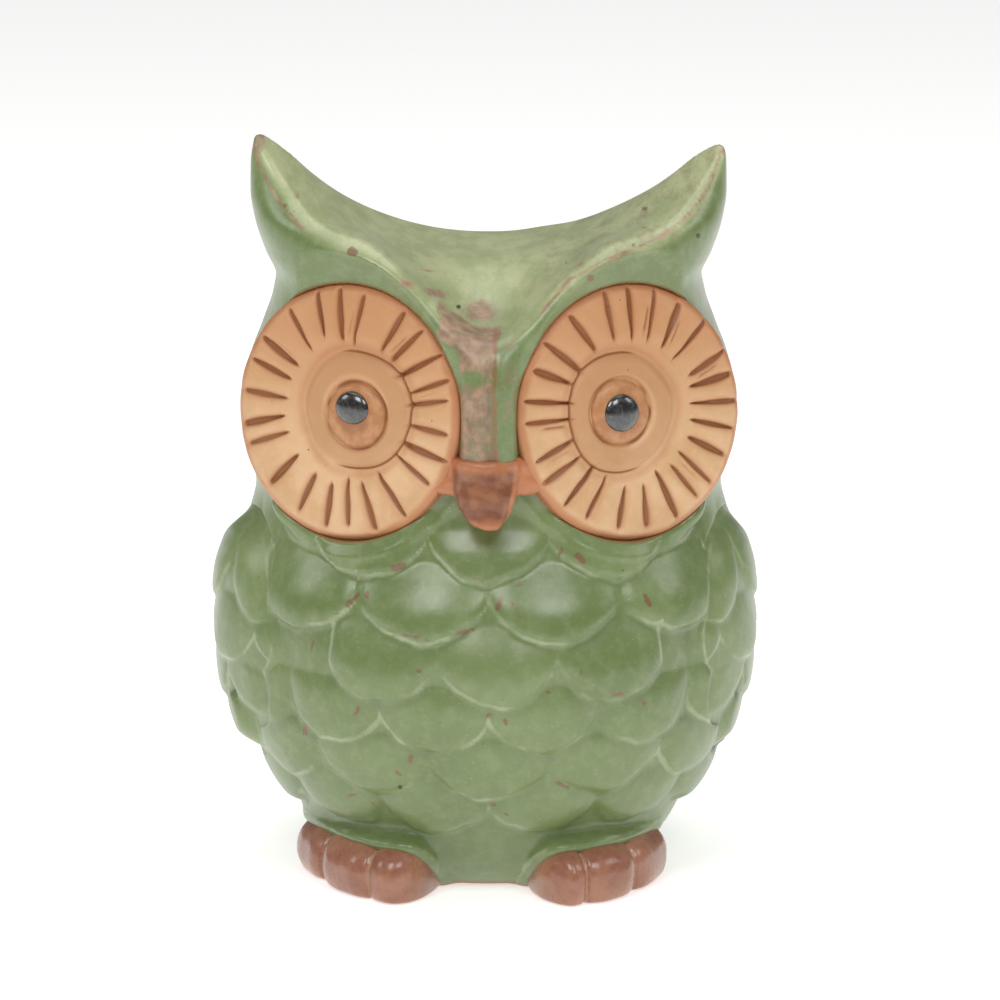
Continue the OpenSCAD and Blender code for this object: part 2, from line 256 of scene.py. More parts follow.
def feather_rows(angle, z, rows, top, lift, puff, radius):
    """Relief of shingled feathers, distance to the nearest edge, and shade under the edges."""
    relief = np.zeros_like(z)
    crest = np.full_like(z, FAR)
    shade = np.zeros_like(z)
    above = [top] + [row[0] for row in rows[:-1]]
    wobble = 0.45 * ripple(angle * 0.9, 0 * z, z, 15, 71) + 0.25 * ripple(angle * 0.9, 0 * z, z, 6, 72)
    for (tip, number, shift, stop), upper in reversed(list(zip(rows, above))):
        pitch = 360 / number
        count = angle / pitch - shift
        t = 2 * (count - np.round(count))
        centre = np.abs((np.round(count) + shift) * pitch)
        present = (centre < stop) | (centre > BACK_START)
        drop = 0.70 * (upper - tip)
        edge = tip + wobble + drop * (1 - (1 - np.minimum(t * t, 0.999)) ** 0.7)
        half = 0.5 * math.radians(pitch) * radius
        slope = drop * 1.4 * np.abs(t) * (1 - np.minimum(t * t, 0.97)) ** -0.3 / half
        d = (z - edge) / np.sqrt(1 + slope ** 2)
        beside = np.abs(angle) > stop - 0.5 * pitch
        side_gap = np.where(beside & (np.abs(angle) < BACK_START), (1 - np.abs(t)) * half - 0.8, FAR)
        d = np.minimum(d, np.where(present, side_gap, -FAR))
        along = np.clip((z - edge) / (upper - edge + 4), 0, 1)
        roll = 0.5 * np.clip(1 - d / 3.2, 0, 1) ** 2
        swell = (1 - np.abs(t) ** 2.3) * (1 - ((along - 0.38) / 0.72) ** 2)
        plate = lift * (1 - along) ** 0.8 + puff * swell - roll
        cover = ease((d + 0.5 * EDGE_SOFTNESS) / EDGE_SOFTNESS)
        relief = relief * (1 - cover) + plate * cover
        # A higher row hides the lines of the rows below it
        crest = np.where(d > 1.2, np.abs(d - 0.25), np.minimum(crest, np.abs(d - 0.25)))
        shade = shade * (1 - cover) + (1 - cover) * ease(1 + (d + 0.6) / 2.6) * (np.abs(t) < 0.96)
    return relief, crest, np.clip(shade, 0, 1)


def wing_feathers(angle, z):
    return feather_rows(angle, z, WING_ROWS, WING_TOP,
                        WING_FEATHER_LIFT, WING_FEATHER_PUFF, WING_RADIUS)


def cone_2d(p, q, a, b):
    """Field of the hull of two circles, each given as centre and radius."""
    d = (b[0] - a[0], b[1] - a[1])
    h = np.clip(((p - a[0]) * d[0] + (q - a[1]) * d[1]) / (d[0] ** 2 + d[1] ** 2), 0, 1)
    return np.hypot(p - a[0] - h * d[0], q - a[1] - h * d[1]) - (a[2] + h * (b[2] - a[2]))


def wing_outline(y, z):
    """Side view of a folded wing: round shoulder, pointed tip and feather ends in front."""
    shoulder, middle, tip = (-8, 58, 20.5), (4, 42, 14), (20, 28, 3.5)
    f = smooth_min(cone_2d(y, z, shoulder, middle), cone_2d(y, z, middle, tip), 2)
    for centre_y, centre_z, radius in ((-21, 54, 9.5), (-19.5, 43.5, 9), (-11, 34, 8), (3, 28, 6)):
        f = smooth_min(f, np.hypot(y - centre_y, z - centre_z) - radius, 0.5)
    return f


def body_relief(x, y, z):
    """Relief of the body's own feathers, flattened under the wings, crests and shade."""
    angle = bearing(x, y)
    relief, crest, shade = feather_rows(angle, z, BODY_ROWS, BODY_TOP,
                                        FEATHER_LIFT, FEATHER_PUFF, BODY_RADIUS)
    fade = ease((87 - z) / 9) * ease((z - 8) / 7)
    outline = wing_outline(y, z)
    under_wing = ease(0.5 - outline / 3) * (np.abs(x) > 20)
    beside = np.exp(-((outline - 3.5) / 4.0) ** 2) * (y < 0) * (np.abs(x) > 20)
    channel = 0.35 * beside * ease((z - 32) / 10) * ease((76 - z) / 8)
    crest = crest + 1.5 * (1 - fade)
    # Painted shade also darkens the body more and more towards the bottom
    shade = np.maximum(shade * fade, 0.8 * ease((36 - z) / 26))
    return (relief * fade - channel) * (1 - under_wing), crest, shade


def collar_relief(x, y, z):
    """Low ridge that follows the lower rim of both eye discs."""
    total = 0.0
    for side in (-1, 1):
        out, _, up = eye_rim(x, y, z, side)
        total = total + 0.55 * np.exp(-(out - COLLAR_GAP) ** 2) * ease((-up - 0.35) / 0.3)
    return total * (y < 0)


# Each foot seen from above: degrees outwards from straight ahead and reach from the axis
FOOT_REACH = {-1: np.array([(18, 48.0), (22, 50.4), (27, 50.9), (38, 49.4),
                            (54, 46.2), (64, 44.8), (78, 43.2)]),
              1: np.array([(13, 47.5), (17.5, 49.6), (22, 51.6), (29, 51.3),
                           (39, 49.4), (55, 45.2), (68, 43.0)])}
FOOT_ENDS = {-1: (18.0, 81), 1: (14.0, 69)}
TOE_CREASES = {-1: (32, 53.5), 1: (25, 42)}
TOE_LENGTH = 15.0
TOE_LEVEL = 4.6
TOE_HEIGHT = 8.6
CUFF_THICKNESS = 1.2
CUFF_SLANT = 1.3
HEEL_RADIUS = 37
HEEL_GAP = 0.5


def toe_field(x, y, z, side, grow=0.0):
    """Field of a foot: a bent roll of clay round the body, creased into three toes."""
    angle = bearing(side * x, y)
    radius = np.hypot(x, y)
    reach = curve(angle, FOOT_REACH[side][:, 0], FOOT_REACH[side][:, 1])
    crease = np.zeros_like(z)
    swell = np.zeros_like(z)
    for degrees in TOE_CREASES[side]:
        arc = np.radians(angle - degrees) * radius
        crease = crease + 0.55 * np.exp(-(arc / 0.55) ** 2)
        swell = swell + 0.6 * np.exp(-(arc / 2.6) ** 2)
    length = TOE_LENGTH + grow
    p = np.maximum(radius - (reach - TOE_LENGTH), 0) / length
    q = (z - TOE_LEVEL) / (TOE_HEIGHT + grow)
    k = (p ** 2.6 + np.abs(q) ** 2.4) ** (1 / 2.5)
    f = (k - 1) * (TOE_HEIGHT + grow) + (0.5 * swell if grow > 0 else crease + swell)
    first, last = FOOT_ENDS[side]
    ends = np.radians(np.maximum(first - angle, angle - last)) * np.maximum(radius, 20) - grow
    return smooth_max(f, ends, 7.0)


def cuff_field(x, y, z, side):
    """Sleeve of the body over the top and back of a foot, cut off aslant in front."""
    return smooth_max(toe_field(x, y, z, side, grow=CUFF_THICKNESS), cuff_rim(x, y, z, side), 2.0)


def cuff_rim(x, y, z, side):
    """Distance beyond the slanting end of a foot's sleeve, which shows more of the outer toe."""
    angle = bearing(side * x, y)
    start = 31.8 - 3.4 * ease((angle - 25) / 35)
    return (np.hypot(x, y) - start - CUFF_SLANT * z) / math.hypot(1, CUFF_SLANT)


def rim_bead(x, y, z, side):
    """Roll of clay that the lowest part of an eye disc is bedded in."""
    out, ahead, up = eye_rim(x, y, z, side)
    return np.hypot(out - 0.9, ahead + 2.9) - 2.1 + 6 * ease((up + 0.86) / 0.3)


def outer_field(x, y, z):
    """Outside of the body shell with brows, ears, nose ridge, feathers and cuffs."""
    f = smooth_min(body_field(x, y, z), nose_field(x, y, z), 3.0)
    rounding = 2.5 + 2.5 * ease((44 - np.abs(x)) / 14)
    f = smooth_max(f, (z - crown_height(x, y)) * 0.9, rounding)
    relief = body_relief(x, y, z)[0]
    f = f - relief - collar_relief(x, y, z) - 0.12 * ripple(x, y, z, 26, 3)
    for side in (-1, 1):
        f = np.where(x * side > 0, smooth_min(f, cuff_field(x, y, z, side), 3.0), f)
        f = smooth_min(f, rim_bead(x, y, z, side), 2.5)
        f = smooth_max(f, -socket_field(x, y, z, side), 0.7)
    return smooth_max(f, -z, 0.8)


def rounded_slot(x, y, z):
    """The coin slot, a bar with rounded edges that runs straight back through the wall."""
    px = np.abs(x) - SLOT_LENGTH / 2 + SLOT_CORNER
    pz = np.abs(z - SLOT_LEVEL) - SLOT_HEIGHT / 2 + SLOT_CORNER
    f = np.hypot(np.maximum(px, 0), np.maximum(pz, 0)) + np.minimum(np.maximum(px, pz), 0) - SLOT_CORNER
    return np.maximum(f, 20 - y)


def shell_field(x, y, z):
    """The whole slip-cast body: outside less the hollow, coin slot, base hole and recess."""
    radius = np.hypot(x, y)
    f = smooth_max(outer_field(x, y, z), -hollow_field(x, y, z), 0.5)
    f = smooth_max(f, -rounded_slot(x, y, z), 1.3)
    f = smooth_max(f, -np.maximum(radius - HOLE_RADIUS, z - FLOOR_TOP - 2), 0.5)
    return smooth_max(f, -np.maximum(radius - RECESS_RADIUS, z - RECESS_DEPTH), 0.5)


def wing_field(x, y, z, side):
    """A wing: a slab over the body's side with its own feathers, sunk a little into the body."""
    angle = np.abs(bearing(x, y))
    outline = wing_outline(y, z)
    relief = wing_feathers(angle, z)[0]
    shell = body_field(x, y, z)
    own = body_relief(x, y, z)[0]
    rise = 0.45 + 0.55 * ease((y + 30) / 20)
    thick = (WING_LIFT[side] + relief * ease((80 - z) / 10)) * rise
    lift = (thick - own) * ease(0.3 - outline / 6.5) - 0.12
    f = smooth_max(shell - own - lift - 0.1 * ripple(x, y, z, 18, 8), -(shell + 1.5), 0.4)
    f = smooth_max(f, outline - 1.2, 0.4)
    return np.maximum(f, 30 - x * side)


def foot_field(x, y, z, side):
    f = toe_field(x, y, z, side) - 0.12 * ripple(x, y, z, 9, 5 + side)
    radius = np.hypot(x, y)
    f = smooth_max(f, 26 - radius, 1)
    # The heel ends just above the table, inside the body's foot ring
    return smooth_max(f, HEEL_GAP * ease((HEEL_RADIUS - radius) / 4) - z, 1.0)


# Level, left edge and right edge of the beak's shield
BEAK = np.array([(84.4, -3.2, 2.8), (85.6, -4.1, 3.5), (87.0, -5.3, 4.3), (88.8, -6.5, 5.1),
                 (91, -7.2, 5.9), (94, -7.5, 6.6), (99, -7.2, 6.8)])


def beak_sides(x, z):
    """Distance beyond the sides of the shield."""
    left, right = curve(z, BEAK[:, 0], BEAK[:, 1]), curve(z, BEAK[:, 0], BEAK[:, 2])
    return np.abs(x - 0.5 * (left + right)) - 0.5 * (right - left)


def web_field(x, y, z):
    """Clay pressed into the corners between the beak and both eye discs."""
    f = smooth_max(np.abs(x) - 12.5, -48.1 + 0.017 * x * x - y, 1.6)
    lower = 90.4 + 0.045 * (np.abs(x) - 7) ** 2
    return smooth_max(f, np.maximum(lower - z, z - 98.4), 1.4)


def beak_field(x, y, z):
    """Shield-shaped beak with a soft ridge down the middle, and the web beside it."""
    front = -52.9 + 0.10 * (z - 92) + 0.05 * (x + 0.4) ** 2 + 0.10 * np.abs(x + 0.4)
    f = smooth_max(beak_sides(x, z), front - y, 2.6)
    f = smooth_max(f, 84.4 - z, 1.6)
    f = smooth_max(f, z - 98.8, 1.2)
    f = smooth_min(f, web_field(x, y, z), 0.8)
    f = f - 0.22 * ripple(x, y, z, 6, 12) - 0.08 * ripple(x, y, z, 2.5, 13)
    return smooth_max(f, y + 40, 1)


# ---- meshing

def grid_points(*axes):
    """Every point of a grid with the given levels along its three axes."""
    return np.stack(np.meshgrid(*axes, indexing="ij"), -1).reshape(-1, 3)


CORNERS = grid_points((0, 1), (0, 1), (0, 1))
EDGES = [(a, b) for a in range(8) for b in range(a + 1, 8)
         if np.abs(CORNERS[a] - CORNERS[b]).sum() == 1]
BLOCK = 6
BLOCKS_AT_ONCE = 2500
DEEP = 99.0


def sample(field, low, shape, step):
    """Values of a field on a grid, worked out only in the blocks that its surface may cross."""
    blocks = [-(-(n - 1) // BLOCK) for n in shape]
    values = np.full([b * BLOCK + 1 for b in blocks], DEEP, np.float32)
    corner = grid_points(*[np.arange(b) * BLOCK for b in blocks])
    half = 0.5 * BLOCK * step
    rough = field(*(low + corner * step + half).T)
    near = np.abs(rough) < 2.4 * half + 2.5
    for i, j, k in corner[~near & (rough < 0)]:
        values[i:i + BLOCK + 1, j:j + BLOCK + 1, k:k + BLOCK + 1] = -DEEP
    active = corner[near]
    local = grid_points(*[np.arange(BLOCK + 1)] * 3)
    for start in range(0, len(active), BLOCKS_AT_ONCE):
        index = (active[start:start + BLOCKS_AT_ONCE, None] + local).reshape(-1, 3)
        values[tuple(index.T)] = field(*(low + index * step).T)
    return values


def mesh_field(field, low, high, step):
    """Closed quad mesh of a field's zero surface: one vertex per crossed grid cell, which is
    then moved onto the surface itself."""
    low = np.asarray(low, float)
    shape = np.ceil((np.asarray(high) - low) / step).astype(int) + 1
    values = sample(field, low, shape, step)
    inside = values < 0
    cells = tuple(n - 1 for n in values.shape)
    count = sum(inside[tuple(slice(c, c + n) for c, n in zip(corner, cells))].astype(np.int8)
                for corner in CORNERS)
    mixed = np.argwhere((count > 0) & (count < 8))
    number = np.full(cells, -1, np.int64)
    number[tuple(mixed.T)] = np.arange(len(mixed))
    at = [values[tuple((mixed + c).T)] for c in CORNERS]
    total = np.zeros((len(mixed), 3))
    hits = np.zeros(len(mixed))
    for a, b in EDGES:
        cross = (at[a] < 0) != (at[b] < 0)
        t = np.clip(at[a] / np.where(cross, at[a] - at[b], 1), 0, 1)
        point = CORNERS[a] + t[:, None] * (CORNERS[b] - CORNERS[a])
        total += np.where(cross[:, None], point, 0)
        hits += cross
    verts = low + step * (mixed + total / hits[:, None])
    quads = []
    for axis in range(3):
        b, c = [(1, 2), (2, 0), (0, 1)][axis]
        lower = np.take(inside, range(0, inside.shape[axis] - 1), axis)
        upper = np.take(inside, range(1, inside.shape[axis]), axis)
        edge = np.argwhere(lower != upper)
        edge = edge[(edge[:, b] > 0) & (edge[:, c] > 0) & (edge[:, b] < cells[b]) & (edge[:, c] < cells[c])]
        step_b, step_c = np.eye(3, dtype=int)[b], np.eye(3, dtype=int)[c]
        ring = [edge, edge - step_b, edge - step_b - step_c, edge - step_c]
        quad = np.stack([number[tuple(r.T)] for r in ring], 1)
        flip = ~lower[tuple(edge.T)]
        quad[flip] = quad[flip][:, ::-1]
        quads.append(quad)
    return settle(field, verts, step), np.concatenate(quads)


def gradient(field, p, reach):
    axes = np.eye(3) * reach
    return np.stack([field(*(p + a).T) - field(*(p - a).T) for a in axes], 1) / (2 * reach)


def settle(field, verts, step):
    """Moves points onto a field's surface, by less than a grid step."""
    for _ in range(2):
        g = gradient(field, verts, 0.12)
        length = np.maximum((g * g).sum(1), 0.25)
        move = -(field(*verts.T) / length)[:, None] * g
        size = np.linalg.norm(move, axis=1, keepdims=True)
        verts = verts + move * np.minimum(1, 0.45 * step / np.maximum(size, 1e-9))
    return verts


def make_object(name, verts, quads, attributes=None):
    """Smooth mesh object from points in mm round the body's axis, with named values per point.

    A quad that has a point twice becomes a triangle.
    """
    mesh = bpy.data.meshes.new(name)
    points = (verts + (0, AXIS_Y, 0)) * MM
    faces = [[q[i] for i in range(4) if q[i] != q[i - 1]] for q in quads.tolist()]
    mesh.from_pydata(points.tolist(), [], faces)
    mesh.validate()
    mesh.polygons.foreach_set("use_smooth", np.ones(len(mesh.polygons), bool))
    for key, values in (attributes or {}).items():
        layer = mesh.attributes.new(key, "FLOAT", "POINT")
        layer.data.foreach_set("value", np.asarray(values, np.float32))
    return place(name, mesh)


def place(name, data):
    """Object of the given data, put in the scene at the origin."""
    thing = bpy.data.objects.new(name, data)
    bpy.context.scene.collection.objects.link(thing)
    return thing


# ---- marks in the green glaze

# Rusty dashes where the glaze ran thin: degrees from straight ahead, level, half length and
# half width in mm, and degrees of lean from level
RUST_DASHES = [
    (-23.4, 74.7, 0.8, 0.75, 20), (-34.9, 71.4, 0.4, 0.3, 0), (-34, 66.9, 1.6, 0.4, 55),
    (-30.3, 68.5, 0.5, 0.35, 100), (-44.2, 55.8, 0.9, 0.4, 75), (-30.7, 43.6, 0.9, 0.45, 60),
    (-47.6, 36.8, 0.9, 0.7, 75), (-15.7, 53.8, 0.2, 0.3, 0), (-18.6, 33.7, 0.6, 0.5, 80),
    (-22.1, 30.1, 0.5, 0.45, 130), (-38, 22.6, 2.0, 0.22, 20), (-32.3, 21, 0.8, 0.25, 140),
    (-2, 72.9, 1.7, 0.28, 170), (7.3, 71.5, 0.7, 0.22, 15), (2.5, 68, 1.1, 0.45, 65),
    (6.3, 67, 1.6, 0.25, 120), (-5.5, 62.1, 1.6, 0.42, 15), (-16.9, 61, 2.6, 0.3, 170),
    (19, 77.6, 1.1, 0.42, 75), (23.7, 76.4, 0.9, 0.65, 130), (39.1, 66.7, 1.1, 0.5, 105),
    (34.5, 69.9, 0.8, 0.16, 0), (20.8, 53.1, 0.5, 0.25, 100), (29.5, 47.8, 0.9, 0.32, 0),
    (36.6, 44.8, 0.2, 0.45, 0), (13.7, 49.1, 0.2, 0.35, 0), (0.2, 44.3, 0.5, 0.45, 0),
    (3.8, 42.9, 0.3, 0.35, 120), (18.9, 27, 1.6, 0.35, 150), (1.2, 22.9, 0.35, 0.35, 0),
    (5, 20.3, 0.8, 0.22, 150), (-65, 29.3, 1.2, 0.3, 110)]
DASH_RADIUS = 50
# Spots on the front as seen a little from above: across, level in that view, radius
HEAD_SPOTS = [(-28.9, 129.5, 1.1), (33.5, 139.3, 0.5), (33.1, 135.0, 0.35), (30.8, 130.9, 0.45),
              (21.6, 123.9, 0.7), (16.5, 127.5, 0.3), (-43.5, 139.6, 0.5)]
PINHOLES = [(-6.4, 118.0, 0.5), (44.6, 133.2, 0.55), (-19, 15.5, 0.5), (-13.5, 67.5, 0.28),
            (17.2, 67.6, 0.3), (28.5, 62, 0.3), (8.6, 42.5, 0.22), (14.5, 31.2, 0.22), (3, 34.5, 0.2)]
# Edges of the ears and brows where the glaze ran thin, as points across and up in that view
EAR_LINES = [[(-50, 152), (-49.2, 148.5), (-45, 140.8), (-39.5, 134.5)],
             [(49.8, 152), (47.2, 143.8), (42.4, 137.4), (36.5, 132.8), (27, 128.4), (17, 123.5), (11, 116)]]
LOOKING_DOWN = math.radians(13)


def front_level(y, z):
    """Level of a point in the view from the front and a little from above."""
    return z * math.cos(LOOKING_DOWN) + y * math.sin(LOOKING_DOWN)


def spot_distance(x, y, z, spots):
    """Distance in mm to the nearest of the round spots, each given in the view from the front."""
    seen = front_level(y, z)
    nearest = np.full_like(z, FAR)
    for across, level, radius in spots:
        nearest = np.minimum(nearest, np.hypot(x - across, seen - level) - radius)
    return np.where(y < 0, nearest, FAR)


def rust_distance(x, y, z):
    """Distance in mm to the nearest rusty dash or spot in the glaze."""
    angle = bearing(x, y)
    nearest = np.full_like(z, FAR)
    for centre, level, half_length, half_width, lean in RUST_DASHES:
        across = np.radians(angle - centre) * DASH_RADIUS
        p = half_length * math.cos(math.radians(lean))
        q = half_length * math.sin(math.radians(lean))
        dash = cone_2d(across, z - level, (-p, -q, half_width), (p, q, half_width))
        nearest = np.minimum(nearest, dash)
    return np.where(y < 0, np.minimum(nearest, spot_distance(x, y, z, HEAD_SPOTS)), FAR)


def blob(x, z, centre, size, lean=0.0):
    """Soft oval spot, 1 at its centre."""
    c, s = math.cos(math.radians(lean)), math.sin(math.radians(lean))
    p, q = x - centre[0], z - centre[1]
    u, v = (p * c + q * s) / size[0], (-p * s + q * c) / size[1]
    return np.exp(-(u * u + v * v))


# Thin, rusty places on the brows as seen a little from above: centre, size, lean and depth
BROW_PATCHES = [((-17.5, 122.6), (3.4, 1.2), -18, 0.85), ((-11, 120.8), (3.6, 1.3), -14, 0.9),
                ((-12.4, 125.8), (2.6, 0.5), -6, 0.75), ((-1.5, 117), (5.5, 3.2), 0, 0.8),
                ((13.5, 121.8), (4.2, 1.2), 50, 0.45), ((19.5, 126.6), (4.5, 1.3), 32, 0.55),
                ((27.5, 129.8), (5.5, 1.2), 10, 0.5), ((37, 133.4), (5.5, 1.0), 24, 0.45),
                ((-33.5, 127.5), (3.2, 1.6), 10, 0.35), ((42, 139), (6, 6), 0, 0.38),
                ((-41, 141.5), (1.2, 2.6), -30, 0.5), ((21.5, 123.8), (2.2, 1.0), 15, 0.5)]


def glaze_attributes(verts):
    """Values that the green glaze is painted by, one per point of a green piece."""
    x, y, z = verts.T
    front = ease((-y - 2) / 6)
    angle = bearing(x, y)
    _, crest, shade = body_relief(x, y, z)
    outline = np.where(np.abs(x) > 20, wing_outline(y, z), FAR)
    _, wing_crest, wing_shade = wing_feathers(np.abs(angle), z)
    on_wing = (outline < 0.3) & (z < 79)
    crest = np.where(on_wing, wing_crest + 0.12, crest)
    shade = np.where(on_wing, 0.6 * wing_shade, shade)
    crest = np.minimum(crest, np.where(z < 79, np.abs(outline + 0.6) + 0.2, FAR))
    joints = np.zeros_like(z)
    for side in (-1, 1):
        out, ahead, up = eye_rim(x, y, z, side)
        collar = np.abs(out - COLLAR_GAP) + 0.4
        crest = np.minimum(crest, np.where((up < -0.5) & (y < 0), collar, FAR))
        cuff = cuff_field(x, y, z, side)
        rim = np.abs(cuff_rim(x, y, z, side) + 1.6)
        crest = np.minimum(crest, np.where((cuff < 0.6) & (z < 22), rim, FAR))
        joints = np.maximum(joints, 0.9 * front * np.exp(-(out / 0.6) ** 2) * (ahead > -6))
    # Rusty, thinly glazed patches: nose ridge, brows and the ears' rims
    w = front_level(y, z)
    on_nose = ease((-y - 33) / 4)
    ragged = ripple(x, 0 * x, w, 4.5, 51)
    broad = ease((w - 107.5) / 4)
    inside = np.minimum(x + 6.6 + 4 * broad, 1.4 + 1.8 * broad - x) + 0.7 * ragged
    nose = ease(0.5 + inside / 2.6) * ease((z - 96.5) / 2) * ease((126 - w + 2.2 * ragged) / 14)
    nose = nose * (0.72 + 0.28 * ease((w - 104) / 12)) - 0.5 * blob(x, w, (-3.5, 102.5), (3, 1.8))
    beside_nose = 0.42 * ease((7.5 - x) / 2) * ease((x - 1) / 1.5)
    beside_nose = beside_nose * ease((w - 88) / 6) * ease((118 - w) / 10)
    patch = on_nose * np.maximum(nose, beside_nose)
    for centre, size, lean, depth in BROW_PATCHES:
        patch = np.maximum(patch, depth * blob(x, w, centre, size, lean) * front)
    for line in EAR_LINES:
        for start, end in zip(line[:-1], line[1:]):
            distance = cone_2d(x, w, (*start, 0), (*end, 0))
            patch = np.maximum(patch, 0.8 * front * np.exp(-(distance / 0.6) ** 2))
    ear_rim = 0.6 * ease((np.abs(x) - 46) / 3) * ease((z - 154) / 6)
    patch = np.maximum(patch, ear_rim)
    groove = on_nose * np.exp(-((x - 1.3 - 0.3 * ragged) / 0.8) ** 2)
    groove = groove * ease((z - 96) / 3) * ease((121 - w) / 10)
    ridge = np.abs(z - crown_height(x, y))
    head = ease((z - 118) / 14) * ease((4 - ridge) / 4)
    base = ease((11 - z) / 0.6) * ease(HOLE_RADIUS + 9 - np.hypot(x, y))
    return {
        "crest": crest,
        "shade": shade,
        "rust": rust_distance(x, y, z),
        "pin": spot_distance(x, y, z, PINHOLES),
        "patch": np.clip(patch, 0, 1),
        "head": head,
        "dark": np.maximum(groove, joints),
        "stain": head * ease((x - 2) / 18) * ease((y + 42) / 6),
        "bare": ease((1.2 - z) / 0.9) + base,
        "inner": ease(0.6 - hollow_field(x, y, z)),
    }


# ---- clay pieces

def make_shell():
    verts, quads = mesh_field(shell_field, (-62, -60, -3), (62, 56, 165), SHELL_STEP)
    return make_object("owl_body", verts, quads, glaze_attributes(verts))


def make_wing(side):
    low = (28, -42, 18) if side > 0 else (-64, -42, 18)
    high = (low[0] + 36, 42, 86)
    verts, quads = mesh_field(lambda x, y, z: wing_field(x, y, z, side), low, high, PIECE_STEP + 0.15)
    return make_object(SIDE_NAME[side] + "_wing_feathers", verts, quads, glaze_attributes(verts))


def make_foot(side):
    low = (5, -58, -2) if side > 0 else (-50, -58, -2)
    high = (low[0] + 45, -5, 18)
    verts, quads = mesh_field(lambda x, y, z: foot_field(x, y, z, side), low, high, PIECE_STEP)
    x, y, z = verts.T
    angle = bearing(side * x, y)
    crease = np.full_like(z, FAR)
    for degrees in TOE_CREASES[side]:
        crease = np.minimum(crease, np.radians(np.abs(angle - degrees)) * np.hypot(x, y))
    return make_object(SIDE_NAME[side] + "_foot_toes", verts, quads, {"crease": crease})


def make_beak():
    verts, quads = mesh_field(beak_field, (-15, -58, 80), (15, -38, 102), 0.35)
    x, y, z = verts.T
    return make_object("beak_shield", verts, quads, {
        "web": beak_sides(x, z) + 0.3 + 1.5 * ease((x - 3) / 2),
        "tip": np.maximum(86.4 - z, z - 96.6)})


# Directions of the grooves cut into each eye disc, in degrees up from outward, as cut by hand
GROOVES = {
    -1: [4, 20, 34, 54, 70, 83, 97, 120, 132, 148, 160, 170,
         186, 199, 214, 235, 252, 267, 279, 296, 316, 338, 349],
    1: [-2, 12, 24, 43, 58, 73, 88, 103, 123, 140, 155, 169,
        181, 199, 212, 227, 241, 260, 277, 293, 307, 318, 332, 345]}
GROOVE_START = 13.9
GROOVE_END = 27.0
GROOVE_DEPTH = 1.15
FACE_CROWN = 1.2
# The raised ring and, inside it, the iris and the pupil sit a little off the disc's middle
RING_RADIUS = 13.2
RING_RISE = 0.95
RING_CENTRE = {-1: (-3.3, 0.5), 1: (-3.0, 0.0)}
IRIS_CENTRE = {-1: (-3.4, -0.6), 1: (-3.6, 0.2)}
IRIS_RADIUS = 7.1
PUPIL_CENTRE = {-1: (-3.0, 1.1), 1: (-3.9, 0.1)}
PUPIL_RADIUS = {-1: 3.6, 1: 4.1}
PUPIL_STRETCH = {-1: 1.13, 1: 1.02}


